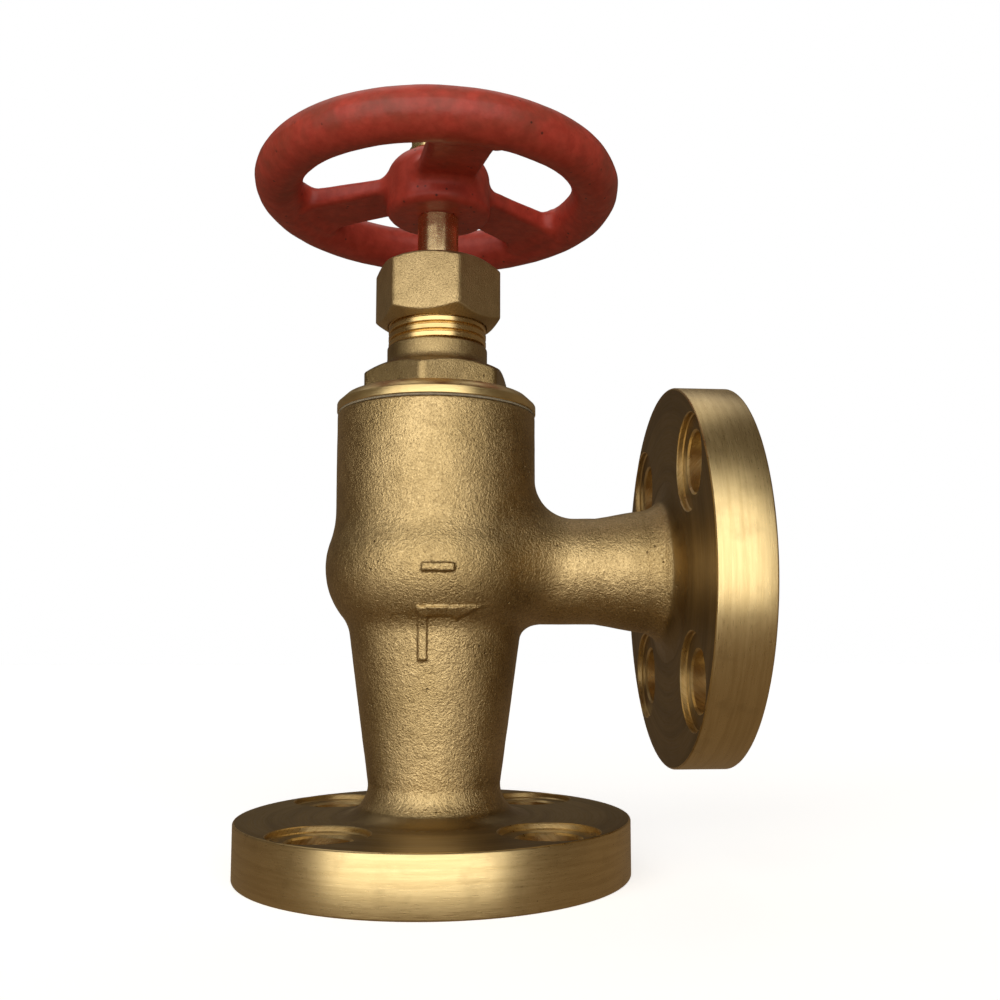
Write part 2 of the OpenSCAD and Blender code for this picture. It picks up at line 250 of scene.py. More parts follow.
def net(field, low, high, step):
    """Points and quads of the surface where field is zero, by surface nets."""
    block = 5
    count = [int(math.ceil((high[i] - low[i]) / step / block)) * block + 1 for i in range(3)]
    axes = [low[i] + step * np.arange(count[i]) for i in range(3)]
    rough = field(np.stack(np.meshgrid(*[a[::block] for a in axes], indexing="ij"), -1))
    # Only blocks that the surface may cross are worked out in full; the others keep one value
    values = np.repeat(np.repeat(np.repeat(rough, block, 0), block, 1), block, 2)
    values = values[:count[0], :count[1], :count[2]]
    near = np.abs(values) < step * block * 1.8
    spots = np.argwhere(near)
    values[near] = field(np.stack([axes[k][spots[:, k]] for k in range(3)], -1))
    n = [len(a) - 1 for a in axes]
    total = np.zeros(n + [3])
    hits = np.zeros(n, int)
    crossings = {}
    for axis in range(3):
        a = values.take(range(0, n[axis]), axis=axis)
        b = values.take(range(1, n[axis] + 1), axis=axis)
        cut = (a < 0) != (b < 0)
        with np.errstate(divide="ignore", invalid="ignore"):
            t = np.where(cut, a / (a - b), 0)
        crossings[axis] = (cut, a < 0)
        others = [k for k in range(3) if k != axis]
        for p in (0, 1):
            for q in (0, 1):
                part = [slice(None)] * 3
                part[others[0]] = slice(p, p + n[others[0]])
                part[others[1]] = slice(q, q + n[others[1]])
                c, tt = cut[tuple(part)], t[tuple(part)]
                hits += c
                total[..., axis] += np.where(c, tt, 0)
                total[..., others[0]] += p * c
                total[..., others[1]] += q * c
    cells = np.argwhere(hits > 0)
    number = np.full(n, -1)
    number[tuple(cells.T)] = np.arange(len(cells))
    local = total[tuple(cells.T)] / hits[tuple(cells.T)][:, None]
    points = np.array(low) + (cells + local) * step
    quads = []
    for axis in range(3):
        cut, inside = crossings[axis]
        u, v = (axis + 1) % 3, (axis + 2) % 3
        edges = np.argwhere(cut)
        edges = edges[(edges[:, u] > 0) & (edges[:, v] > 0) & (edges[:, u] < n[u]) & (edges[:, v] < n[v])]
        flip = inside[tuple(edges.T)]
        corner = []
        for du, dv in ((1, 1), (0, 1), (0, 0), (1, 0)):
            e = edges.copy()
            e[:, u] -= du
            e[:, v] -= dv
            corner.append(number[tuple(e.T)])
        quad = np.stack(corner, -1)
        quads.append(np.where(flip[:, None], quad, quad[:, ::-1]))
    return points, np.vstack(quads)


def settled(points, field, rounds=3, reach=0.02):
    """Moves points along the field's slope onto its surface."""
    for _ in range(rounds):
        value = field(points)
        slope = np.stack([(field(points + reach * e) - field(points - reach * e)) / (2 * reach)
                          for e in np.eye(3)], -1)
        length = np.maximum((slope ** 2).sum(-1), 0.05)
        points = points - np.clip(value / length, -0.5, 0.5)[:, None] * slope
    return points


def waves(count, length, seed):
    """A function of points that gives a gentle seeded unevenness of that wavelength, from -1 to 1."""
    draw = np.random.default_rng(seed)
    axis = draw.normal(size=(count, 3))
    axis /= np.linalg.norm(axis, axis=1)[:, None]
    turns = TAU / (length * draw.uniform(0.75, 1.35, count))
    phase = draw.uniform(0, TAU, count)

    def look_up(points):
        total = 0
        for a, t, p in zip(axis, turns, phase):
            total = total + np.sin((points @ a) * t + p)
        return total / count * 1.6
    return look_up


def sculpted(name, field, low, high, step, material, sharp=math.radians(46)):
    """A piece from a solid field."""
    points, quads = net(field, low, high, step)
    return piece(name, settled(points, field), quads, material, sharp)


# ---------------------------------------------------------------------------
# Materials
# ---------------------------------------------------------------------------

class Graph:
    """One material's nodes. Sockets are given as values or as other nodes' outputs."""

    def __init__(self, name, **constants):
        self.material = bpy.data.materials.new(name)
        self.material.use_nodes = True
        self.tree = self.material.node_tree
        self.tree.nodes.clear()
        self.shader = self.node("ShaderNodeBsdfPrincipled", constants)
        out = self.node("ShaderNodeOutputMaterial")
        self.tree.links.new(self.shader.outputs[0], out.inputs["Surface"])
        self.place = self.node("ShaderNodeTexCoord").outputs["Object"]

    def node(self, kind, inputs=None, **attributes):
        made = self.tree.nodes.new(kind)
        for key, value in attributes.items():
            setattr(made, key, value)
        for key, value in (inputs or {}).items():
            self.feed(made.inputs[key], value)
        return made

    def feed(self, socket, value):
        if isinstance(value, bpy.types.NodeSocket):
            self.tree.links.new(value, socket)
        elif isinstance(value, tuple) and len(value) == 3 and socket.type == "RGBA":
            socket.default_value = (*value, 1.0)
        else:
            socket.default_value = value

    def calc(self, operation, a, b=0.0):
        return self.node("ShaderNodeMath", {0: a, 1: b}, operation=operation).outputs[0]

    def noise(self, size_mm, detail, roughness=0.55, vector=None):
        """Noise from 0 to 1 whose features are about size_mm across."""
        inputs = {"Vector": vector or self.place, "Scale": 1 / (size_mm * MM), "Detail": detail,
                  "Roughness": roughness}
        return self.node("ShaderNodeTexNoise", inputs).outputs["Fac"]

    def cells(self, size_mm):
        """Distance from 0 at the middle of scattered cells about size_mm apart."""
        inputs = {"Vector": self.place, "Scale": 1 / (size_mm * MM)}
        return self.node("ShaderNodeTexVoronoi", inputs).outputs["Distance"]

    def ramp(self, value, start, end, low=0.0, high=1.0):
        """Eases from low at start to high at end."""
        inputs = {"Value": value, "From Min": start, "From Max": end, "To Min": low, "To Max": high}
        return self.node("ShaderNodeMapRange", inputs, interpolation_type="SMOOTHSTEP").outputs[0]

    def mix(self, amount, first, second):
        made = self.node("ShaderNodeMix", data_type="RGBA")
        self.feed(made.inputs["Factor"], amount)
        self.feed(made.inputs[6], first)
        self.feed(made.inputs[7], second)
        return made.outputs[2]

    def bump(self, height, depth_mm):
        inputs = {"Height": height, "Distance": depth_mm * MM, "Strength": 1.0}
        return self.node("ShaderNodeBump", inputs).outputs[0]

    def turned(self):
        """Coordinates for lathe marks: they run round the Z axis and change with radius and height."""
        drift = 0.002  # slow change round the axis, so that no mark is a perfect circle
        parts = self.node("ShaderNodeSeparateXYZ", {0: self.place}).outputs
        flat = self.node("ShaderNodeCombineXYZ", {0: parts[0], 1: parts[1], 2: 0.0}).outputs[0]
        length = self.node("ShaderNodeVectorMath", {0: flat}, operation="LENGTH").outputs["Value"]
        unit = self.node("ShaderNodeVectorMath", {0: flat}, operation="NORMALIZE").outputs[0]
        ring = self.node("ShaderNodeSeparateXYZ", {0: unit}).outputs
        across = self.calc("ADD", length, parts[2])
        return self.node("ShaderNodeCombineXYZ", {0: self.calc("MULTIPLY", ring[0], drift),
                                                  1: self.calc("MULTIPLY", ring[1], drift),
                                                  2: across}).outputs[0]

    def finish(self, colour=None, roughness=None, normal=None):
        for key, value in (("Base Color", colour), ("Roughness", roughness), ("Normal", normal)):
            if value is not None:
                self.feed(self.shader.inputs[key], value)
        return self.material


def edges(graph, radius_mm):
    """0 on the open surface, rising to 1 at edges and in corners."""
    bevel = graph.node("ShaderNodeBevel", {"Radius": radius_mm * MM}, samples=4).outputs[0]
    straight = graph.node("ShaderNodeNewGeometry").outputs["Normal"]
    alike = graph.node("ShaderNodeVectorMath", {0: bevel, 1: straight}, operation="DOT_PRODUCT")
    return graph.ramp(alike.outputs["Value"], 0.995, 0.90)


def cast_bronze_material(name, tone, grain_mm=0.55, depth_mm=0.21, painted_foot_shade=False):
    """Sand-cast bronze: pebbly, with scattered pits, a slightly darker bloom, painted shade in the grain's
    hollows and painted highlights on its crests.

    With its last flag set, the body's two neck feet get painted shade, as dark as the flanges' painted-shade
    backs, and a smoother skin.
    """
    g = Graph(name, Metallic=1.0)
    patches = g.noise(22, 2)
    mottle = g.noise(3.2, 4)
    pebbles = g.noise(grain_mm, 3, 0.6)
    lumps = g.noise(1.7, 2, 0.5)
    grain = g.noise(grain_mm * 0.45, 2)
    pits = g.calc("MULTIPLY", g.ramp(g.cells(2.3), 0.16, 0.07), g.ramp(g.noise(11, 2), 0.56, 0.66))
    light = (0.60 * tone, 0.44 * tone, 0.215 * tone)
    dull = (0.43 * tone, 0.305 * tone, 0.135 * tone)
    colour = g.mix(g.ramp(patches, 0.3, 0.72), light, dull)
    colour = g.mix(g.ramp(mottle, 0.52, 0.80, 0.0, 0.5), colour, (0.33 * tone, 0.23 * tone, 0.10 * tone))
    # Painted shade in the grain's hollows
    colour = g.mix(g.ramp(pebbles, 0.50, 0.30, 0.0, 0.65), colour, (0.25 * tone, 0.17 * tone, 0.075 * tone))
    # Painted highlight on the grain's crests
    painted_crest_highlight = g.ramp(pebbles, 0.55, 0.72, 0.0, 0.6)
    colour = g.mix(painted_crest_highlight, colour, (0.86 * tone, 0.67 * tone, 0.36 * tone))
    colour = g.mix(g.calc("MULTIPLY", pits, 0.75), colour, (0.10, 0.065, 0.03))
    height = g.calc("ADD", pebbles, g.calc("MULTIPLY", grain, 0.5))
    height = g.calc("ADD", height, g.calc("MULTIPLY", lumps, 0.7))
    height = g.calc("SUBTRACT", height, pits)
    rough = g.ramp(mottle, 0.3, 0.7, 0.30, 0.42)
    if painted_foot_shade:
        # Painted shade on the foot of each neck, next to its flange's back, where the skin is also made
        # smoother
        parts = g.node("ShaderNodeSeparateXYZ", {0: g.place}).outputs
        near, far = 1.6, 3.4  # mm from the flange's back
        low = g.ramp(parts[2], (FLANGE_T + far) * MM, (FLANGE_T + near) * MM)
        out = g.ramp(parts[0], (OUTLET_X - FLANGE_T - far) * MM, (OUTLET_X - FLANGE_T - near) * MM)
        foot = g.calc("MAXIMUM", low, out)
        colour = g.mix(foot, colour, (0.30, 0.215, 0.10))
        height = g.calc("MULTIPLY", height, g.ramp(foot, 0.0, 1.0, 1.0, 0.25))
    return g.finish(colour, rough, g.bump(height, depth_mm))


def turned_bronze_material(name, light, dull, rough, line_mm, depth_mm, stain=0.35, brushed=0.0):
    """Bronze off the lathe: fine marks round the axis, small dark specks and a little stain."""
    g = Graph(name, Metallic=1.0, Anisotropic=brushed, **{"Anisotropic Rotation": 0.25})
    if brushed:
        round_z = g.node("ShaderNodeTangent", direction_type="RADIAL", axis="Z").outputs[0]
        g.feed(g.shader.inputs["Tangent"], round_z)
    along = g.turned()
    lines = g.noise(line_mm, 2, 0.6, along)
    bands = g.noise(line_mm * 7, 2, 0.5, along)
    stains = g.noise(9, 4)
    specks = g.ramp(g.cells(2.6), 0.09, 0.03)
    sparse = g.ramp(g.noise(7, 1), 0.52, 0.64)
    colour = g.mix(g.ramp(bands, 0.35, 0.7), light, dull)
    colour = g.mix(g.ramp(lines, 0.55, 0.85, 0.0, 0.35), colour, dull)
    colour = g.mix(g.ramp(stains, 0.5, 0.8, 0.0, stain), colour, (0.20, 0.13, 0.055))
    colour = g.mix(g.calc("MULTIPLY", g.calc("MULTIPLY", specks, sparse), 0.7), colour, (0.09, 0.055, 0.025))
    rough_value = g.ramp(lines, 0.3, 0.75, *rough)
    return g.finish(colour, rough_value, g.bump(lines, depth_mm))


def blasted_bronze_material(name, light, dull):
    """Bead-blasted bronze with a fine sandy skin and brighter worn edges."""
    g = Graph(name, Metallic=1.0)
    sand = g.noise(0.36, 3, 0.6)
    patches = g.noise(6, 3)
    worn = edges(g, 0.5)
    colour = g.mix(g.ramp(patches, 0.35, 0.7), light, dull)
    colour = g.mix(g.ramp(sand, 0.46, 0.66, 0.0, 0.45), colour, (0.30, 0.215, 0.10))
    colour = g.mix(g.calc("MULTIPLY", worn, 0.6), colour, (0.78, 0.60, 0.32))
    rough = g.ramp(sand, 0.3, 0.7, 0.36, 0.48)
    return g.finish(colour, rough, g.bump(sand, 0.20))


def enamel_material(name):
    """Brushed red enamel over cast iron, tarnished brown in patches, with dark specks."""
    g = Graph(name, Metallic=0.0, **{"Specular IOR Level": 0.38})
    brush = g.noise(2.4, 3)
    patches = g.noise(14, 3, 0.6)
    specks = g.ramp(g.cells(2.6), 0.17, 0.08)
    sparse = g.ramp(g.noise(8, 2), 0.50, 0.60)
    colour = g.mix(g.ramp(brush, 0.3, 0.7), (0.50, 0.058, 0.036), (0.40, 0.040, 0.024))
    colour = g.mix(g.ramp(patches, 0.52, 0.78, 0.0, 0.40), colour, (0.20, 0.040, 0.022))
    parts = g.node("ShaderNodeSeparateXYZ", {0: g.place}).outputs
    radius = g.calc("SQRT", g.calc("ADD", g.calc("POWER", parts[0], 2.0), g.calc("POWER", parts[1], 2.0)))
    handled = g.ramp(radius, 44.5 * MM, 48.6 * MM)
    tarnish = g.calc("MULTIPLY", handled, g.ramp(g.noise(9, 4, 0.6), 0.30, 0.75))
    colour = g.mix(g.calc("MULTIPLY", tarnish, 0.7), colour, (0.16, 0.048, 0.026))
    colour = g.mix(g.calc("MULTIPLY", g.calc("MULTIPLY", specks, sparse), 0.85), colour, (0.03, 0.012, 0.008))
    rough = g.ramp(patches, 0.3, 0.7, 0.36, 0.48)
    height = g.calc("ADD", brush, g.calc("MULTIPLY", g.noise(0.8, 2), 0.35))
    return g.finish(colour, rough, g.bump(height, 0.10))


def fibre_material(name, light, dark, size_mm=0.5):
    """Matt fibre, for the gasket and the braided packing."""
    g = Graph(name, Metallic=0.0)
    fibre = g.noise(size_mm, 4, 0.7)
    colour = g.mix(g.ramp(fibre, 0.3, 0.7), light, dark)
    return g.finish(colour, g.ramp(fibre, 0.3, 0.7, 0.65, 0.85), g.bump(fibre, 0.05))


# The body's bronze, with painted shade on its two neck feet
CAST = cast_bronze_material("cast_bronze", 1.04, painted_foot_shade=True)
CAST_BONNET = cast_bronze_material("cast_bronze_bonnet", 0.80, 0.34, 0.12)
FLANGE = turned_bronze_material(
    "turned_flange", (0.75, 0.57, 0.28), (0.66, 0.49, 0.23), (0.27, 0.38), 0.12, 0.014)
RING = turned_bronze_material(
    "turned_ring", (0.82, 0.63, 0.30), (0.70, 0.52, 0.24), (0.28, 0.40), 0.16, 0.014)
THREAD = turned_bronze_material(
    "cut_thread", (0.80, 0.58, 0.26), (0.62, 0.43, 0.18), (0.20, 0.32), 0.25, 0.010)
STEM = turned_bronze_material(
    "polished_stem", (0.92, 0.72, 0.40), (0.82, 0.62, 0.33), (0.20, 0.28), 0.16, 0.008, 0.2, 0.6)
NUT = blasted_bronze_material("blasted_nut", (0.58, 0.43, 0.215), (0.49, 0.36, 0.175))
# Painted shade: the flange's turned bronze, darkened for the flanges' backs and spot-face floors
FLANGE_BACK_PAINTED_SHADE = turned_bronze_material(
    "turned_flange_back", (0.30, 0.215, 0.10), (0.22, 0.155, 0.07), (0.40, 0.50), 0.5, 0.012, 0.5)
YELLOW = turned_bronze_material(
    "yellow_brass", (0.86, 0.68, 0.34), (0.72, 0.55, 0.26), (0.22, 0.32), 0.18, 0.008)
ENAMEL = enamel_material("red_enamel")
GASKET = fibre_material("gasket_fibre", (0.34, 0.29, 0.20), (0.22, 0.18, 0.12))
PACKING = fibre_material("graphite_packing", (0.05, 0.05, 0.055), (0.02, 0.02, 0.022))


# ---------------------------------------------------------------------------
# Body: one casting, with its two turned flanges
# ---------------------------------------------------------------------------

NECK_TOP = (22.44, 62.6)  # (r, z) on the inlet neck's cone, just under the bulge
LOWER_FILLET = 9.0
UPPER_FILLET = 24.0
TOP_EDGE = 0.7
CAST_SINK = 2.0  # how far the casting runs into each flange
RELIEF = 0.62  # height of the cast marks
MARK_EDGE = 0.55  # width of their sloping sides


def body_outline():
    """Distance field of the casting's turned shape: neck, bulge and upper cylinder, with fillets."""
    start = FLANGE_T + NECK_FILLET
    foot_r = NECK_R + NECK_FILLET
    centre = np.array([BULGE_TOP_R - BULGE_R, BULGE_Z])
    # The upper fillet touches the cylinder and the bulge
    top = np.array([BODY_R + UPPER_FILLET, 0.0])
    top[1] = BULGE_Z + math.sqrt((BULGE_R + UPPER_FILLET) ** 2 - (top[0] - centre[0]) ** 2)
    top_turn = math.degrees(math.atan2(*(centre - top)[::-1])) % 360
    # The lower fillet touches the bulge and the neck's cone
    cone = np.array(NECK_TOP) - (NECK_R, start)
    cone /= np.linalg.norm(cone)
    out = np.array([cone[1], -cone[0]])
    offset = np.array(NECK_TOP) + out * LOWER_FILLET - centre
    along = -offset @ cone - math.sqrt((offset @ cone) ** 2 - offset @ offset + (BULGE_R + LOWER_FILLET) ** 2)
    low = centre + offset + along * cone
    low_turn = math.degrees(math.atan2(*(centre - low)[::-1])) % 360
    cone_turn = math.degrees(math.atan2(*(-out)[::-1])) % 360
    bulge_from = low_turn - 180
    bulge_to = top_turn - 180
    outline = ([(-5, FLANGE_T - CAST_SINK), (foot_r, FLANGE_T - CAST_SINK), (foot_r, FLANGE_T)]
               + arc(foot_r, start, NECK_FILLET, 270, 180, 24)
               + arc(*low, LOWER_FILLET, cone_turn, low_turn, 12)
               + arc(*centre, BULGE_R, bulge_from, bulge_to, 40)
               + arc(*top, UPPER_FILLET, top_turn, 180, 12)
               + arc(BODY_R - TOP_EDGE, BODY_TOP_Z - TOP_EDGE, TOP_EDGE, 0, 90, 6) + [(-5, BODY_TOP_Z)])
    return outline_field(outline, (0, 5), (40, 125))


def outlet_outline():
    """Distance field of the outlet neck in (radius, x)."""
    flange_x = OUTLET_X - FLANGE_T
    cone_to = flange_x - OUTLET_FILLET
    end_r = OUTLET_NECK_R + OUTLET_FLARE
    return outline_field(
        [(-5, 0), (OUTLET_NECK_R, 0), (OUTLET_NECK_R, cone_to - OUTLET_CONE_H)]
        + arc(end_r + OUTLET_FILLET, cone_to, OUTLET_FILLET, 180, 90, 24)
        + [(end_r + OUTLET_FILLET, flange_x + CAST_SINK), (-5, flange_x + CAST_SINK)], (0, -2), (40, 70))


def hollow_outline():
    """Distance field of the chamber, with the bonnet's hole above it."""
    inner = BODY_R - SPIGOT_IN
    arc_r = BULGE_R - WALL
    centre = BULGE_TOP_R - BULGE_R
    up = math.degrees(math.acos((inner - centre) / arc_r))
    top = BODY_TOP_Z + 1
    return outline_field(
        [(-5, SEAT_Z - 2), (CHAMBER_FLOOR_R, SEAT_Z - 2)]
        + arc(centre, BULGE_Z, arc_r, -50, up, 20) + [(inner, top), (-5, top)], (0, 40), (40, 125))


def flat_field(outline):
    """Distance to a closed outline in the X-Z plane."""
    return outline_field(outline, (-30, 40), (30, 95), 0.15)


def marks_field():
    """Height from 0 to 1 of what is cast on the front: a flow arrow and a bar."""
    arrow = flat_field([(-4.8, 66.2), (10.9, 66.3), (4.9, 63.1), (3.7, 64.0), (-2.15, 63.8),
                        (-2.15, 53.4), (-4.35, 53.4), (-4.35, 64.6), (-4.8, 65.4)])
    bar = flat_field([(-3.4, 74.6), (4.0, 74.6), (4.0, 76.2), (-3.4, 76.2)])

    def height(points):
        x, z = points[..., 0], points[..., 2]
        near = np.minimum(arrow(x, z), bar(x, z) - 0.2)
        rise = np.clip(0.5 - near / MARK_EDGE, 0, 1)
        return np.where(points[..., 1] < 0, rise * rise * (3 - 2 * rise), 0)
    return height


def body_field():
    """The casting as one solid field: outside with its marks, chamber, seat and bores."""
    shell, outlet, hollow = body_outline(), outlet_outline(), hollow_outline()
    marks = marks_field()
    slow, fast = waves(14, 7.5, 3), waves(16, 2.2, 4)

    def field(p):
        x, y, z = p[..., 0], p[..., 1], p[..., 2]
        r = np.hypot(x, y)
        across = np.hypot(y, z - AXIS_Z - OUTLET_SHIFT)
        # The branch's fillet is small below and wide above
        fillet = 4.0 + 6.0 * np.clip((z - 62) / 24, 0, 1)
        cast = round_union(shell(r, z), np.maximum(outlet(across, x), -x), fillet)
        cast = cast - RELIEF * marks(p) - 0.05 * slow(p) - 0.012 * fast(p)
        cast = np.maximum(cast, np.maximum(z - BODY_TOP_Z, FLANGE_T - CAST_SINK - z))
        cast = np.maximum(cast, x - (OUTLET_X - FLANGE_T + CAST_SINK))
        seat_ring = np.maximum(r - SEAT_R, z - SEAT_Z)
        chamber = np.maximum(hollow(r, z), -seat_ring)
        bores = np.minimum(np.maximum(r - BORE_R, z - SEAT_Z - 0.5),
                           np.maximum(np.hypot(y, z - AXIS_Z) - BORE_R, -x))
        return np.maximum(cast, -np.minimum(chamber, bores))
    return field


def flange(name, matrix):
    """A turned flange plate with its bore, its bolt holes and their spot faces."""
    t, edge = FLANGE_T, RIM_EDGE
    outline = ([(BORE_R + 0.5, 0), (BORE_R, 0.5), (BORE_R, t - 1), (BORE_R + 1, t)]
               + [(FLANGE_R - edge - 0.15, t)] + arc(FLANGE_R - edge, t - edge, edge, 80, 10, 4)
               + arc(FLANGE_R - edge, edge, edge, -10, -80, 4) + [(FLANGE_R - edge - 0.15, 0)])
    plate = spun(name, outline[::-1], 360, FLANGE)
    cut = [(0, -1), (BOLT_R + 0.8, -1), (BOLT_R + 0.8, 0), (BOLT_R, 0.8), (BOLT_R, t - SPOT_DEPTH - 0.5),
           (BOLT_R + 0.5, t - SPOT_DEPTH), (SPOT_R - 0.3, t - SPOT_DEPTH), (SPOT_R, t - SPOT_DEPTH + 0.3),
           (SPOT_R, t - 0.25), (SPOT_R + 0.6, t + 0.4), (SPOT_R + 0.6, t + 3), (0, t + 3)]
    for i in range(BOLT_COUNT):
        turn = (i + 0.5) * TAU / BOLT_COUNT
        cutter = spun("cutter", cut, 96, FLANGE, solid=True)
        cutter.location = (BOLT_CIRCLE_R * math.cos(turn) * MM, BOLT_CIRCLE_R * math.sin(turn) * MM, 0)
        cut_away(plate, cutter)
    plate.data.set_sharp_from_angle(angle=math.radians(25))
    # Painted shade: the back face and the spot faces' floors take the darker copy of the flange's bronze
    plate.data.materials.append(FLANGE_BACK_PAINTED_SHADE)
    for face in plate.data.polygons:
        if face.normal.z > 0.99 and face.center.z > (t - SPOT_DEPTH - 0.05) * MM:
            face.material_index = 1
    plate.matrix_world = matrix
    return plate


def cut_away(obj, cutter):
    """Takes cutter out of obj's mesh and removes cutter."""
    modifier = obj.modifiers.new("cut", "BOOLEAN")
    modifier.object = cutter
    modifier.operation = "DIFFERENCE"
    modifier.solver = "EXACT"
    bpy.context.view_layer.update()
    cut = bpy.data.meshes.new_from_object(obj.evaluated_get(bpy.context.evaluated_depsgraph_get()))
    obj.modifiers.clear()
    obj.data = cut
    bpy.data.objects.remove(cutter, do_unlink=True)


def rides(obj, body, node):
    """Hands a finished piece over to the frame: it moves with body and stands for the CAD's node."""
    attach(obj, body)
    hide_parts(node)


casting = sculpted("body_casting", body_field(), (-30, -30, 11), (OUTLET_X - FLANGE_T + 3, 30, 119),
                   step=0.42, material=CAST)
rides(casting, "valve_body", "body")
inlet = flange("inlet_flange", Matrix.Identity(4))
rides(inlet, "valve_body", "body")
outlet_place = Matrix.Translation((OUTLET_X * MM, 0, AXIS_Z * MM)) @ Matrix.Rotation(-math.pi / 2, 4, "Y")
outlet = flange("outlet_flange", outlet_place)
rides(outlet, "valve_body", "body")


# ---------------------------------------------------------------------------
# Bonnet: turned plug, rough hexagon with its collar, and cut thread
# ---------------------------------------------------------------------------

def helix(crest, pitch, depth, start, end, run=1.2):
    """A shape for spun(): a screw thread between two heights, running out at both ends.

    Only the rows at the crest's radius are cut: broad crests and narrow rounded grooves.
    """
    def shape(angle, r, z):
        phase = ((z / pitch - angle / TAU) % 1.0)
        flank = np.clip((np.abs(phase - 0.5) * 2 - 0.56) / 0.36, 0, 1)
        groove = depth * (0.5 - 0.5 * np.cos(flank * math.pi))
        fade = np.clip((z - start) / run, 0, 1) * np.clip((end - z) / run, 0, 1)
        on_thread = np.abs(r - crest) < 0.01
        return np.where(on_thread, r - groove * fade, r), z
    return shape


HEX_FOOT_Z = 121.8
HEX_TOP_Z = 129.0
HEX_FLATS_R = 17.5
HEX_TURN = -41.7
HEX_OUT_R = 22.0  # beyond the corners, before the flats are cut
COLLAR_R = 13.3
COLLAR_TOP_Z = 135.6
COLLAR_FILLET = 3.4
COLLAR_EDGE = 0.6
BOSS_R = SCREW_R + WALL
CROWN_T = 4.0  # the bonnet's thickness over its hollow spigot
CORE_R = 16.0  # the turned part reaches up inside the cast part to this radius
BOX_FLOOR_Z = node_box("packing_ring_1")[0][2]
BOX_R = node_box("packing_ring_1")[1][0]
BONNET_FLANGE_CHAMFER = 2.2


def bonnet_plug():
    """The turned part: flange, screwed hollow spigot and the boss for the stem's screw."""
    z0, r = GASKET_TOP_Z, BONNET_R
    chamfer = BONNET_FLANGE_CHAMFER
    nose = BONNET_LOW[2]
    spigot = BODY_R - SPIGOT_IN
    hollow_r = spigot - 4.6
    groove = nose + 3
    bush, screw = STEM_R + 0.05, SCREW_R + 0.05
    back_seat = HEX_FOOT_Z - 1.8
    outline = [(bush, back_seat), (screw, back_seat), (screw, nose + 0.5), (screw + 0.45, nose),
               (BOSS_R - 0.4, nose), (BOSS_R, nose + 0.4), (BOSS_R, z0 - CROWN_T), (hollow_r, z0 - CROWN_T),
               (hollow_r, groove), (spigot - 1, groove), (spigot, groove + 1)]
    outline += dense([(spigot, groove + 1.2), (spigot, z0 - 1.5)], 0.2)
    outline += [(spigot - 1, z0), (r - 0.15, z0), (r, z0 + 0.15), (r, HEX_FOOT_Z - chamfer),
                (r - 0.1, HEX_FOOT_Z - chamfer + 0.2), (r - chamfer + 0.1, HEX_FOOT_Z - 0.1),
                (r - chamfer - 0.15, HEX_FOOT_Z), (CORE_R, HEX_FOOT_Z), (CORE_R, BOX_FLOOR_Z),
                (bush, BOX_FLOOR_Z)]
    shape = helix(spigot, THREAD_PITCH, 0.9, groove + 1, z0 - 1)
    return spun("bonnet_plug", outline, 192, RING, shape)


def bonnet_hexagon():
    """The cast part: hexagon and collar, left rough, round the packing box."""
    outer = [(HEX_OUT_R, HEX_FOOT_Z - 0.3)]
    outer += dense([(HEX_OUT_R, HEX_FOOT_Z), (HEX_OUT_R, HEX_TOP_Z)], 0.35)
    top = dense([(16.5, HEX_TOP_Z), (COLLAR_R + 2.2, HEX_TOP_Z)], 0.5)
    foot = arc(COLLAR_R + COLLAR_FILLET, HEX_TOP_Z + COLLAR_FILLET, COLLAR_FILLET, 262, 190, 12)
    collar = dense([(COLLAR_R, HEX_TOP_Z + COLLAR_FILLET), (COLLAR_R, COLLAR_TOP_Z - COLLAR_EDGE)], 0.4)
    rim = arc(COLLAR_R - COLLAR_EDGE, COLLAR_TOP_Z - COLLAR_EDGE, COLLAR_EDGE, 20, 90, 5)
    inside = [(BOX_R, COLLAR_TOP_Z), (BOX_R, BOX_FLOOR_Z), (CORE_R - 1, BOX_FLOOR_Z - 1),
              (CORE_R - 1, HEX_FOOT_Z - 0.3)]
    outline = outer + top + foot + collar + rim + inside
    slow, fast = waves(12, 6, 11), waves(14, 2, 12)

    def shape(angle, r, z):
        hexagon = hexagon_radius(angle, HEX_FLATS_R, HEX_TURN, 0.35)
        cone = HEX_FLATS_R - 0.3 + (HEX_TOP_Z - z) * 1.75
        side = soft_min(soft_min(r, hexagon, 0.2), cone, 0.5)
        cast = (z < HEX_TOP_Z + 0.01) & (r > 16.6)
        r = np.where(cast, side, r)
        points = np.stack([r * np.cos(angle), r * np.sin(angle), z], -1)
        rough = 0.045 * slow(points) + 0.012 * fast(points)
        return np.where(r > BOX_R + 1.2, r + rough, r), z
    return spun("bonnet_hexagon", outline, 288, CAST_BONNET, shape, sharp=math.radians(60))


def bonnet_thread():
    """The neck's cut thread, on which the packing nut runs."""
    top = BONNET_HIGH[2]
    outline = [(BOX_R, COLLAR_TOP_Z - 0.5), (THREAD_R - 1.2, COLLAR_TOP_Z - 0.5)]
    outline += dense([(THREAD_R, COLLAR_TOP_Z + 0.2), (THREAD_R, top - 1)], 0.1)
    outline += [(THREAD_R - 1, top), (BOX_R, top)]
    shape = helix(THREAD_R, THREAD_PITCH, 0.8, COLLAR_TOP_Z - 0.6, top, 0.8)
    return spun("bonnet_thread", outline, 192, THREAD, shape, sharp=math.radians(70))


for part in (bonnet_plug(), bonnet_hexagon(), bonnet_thread()):
    rides(part, "valve_body", "bonnet")

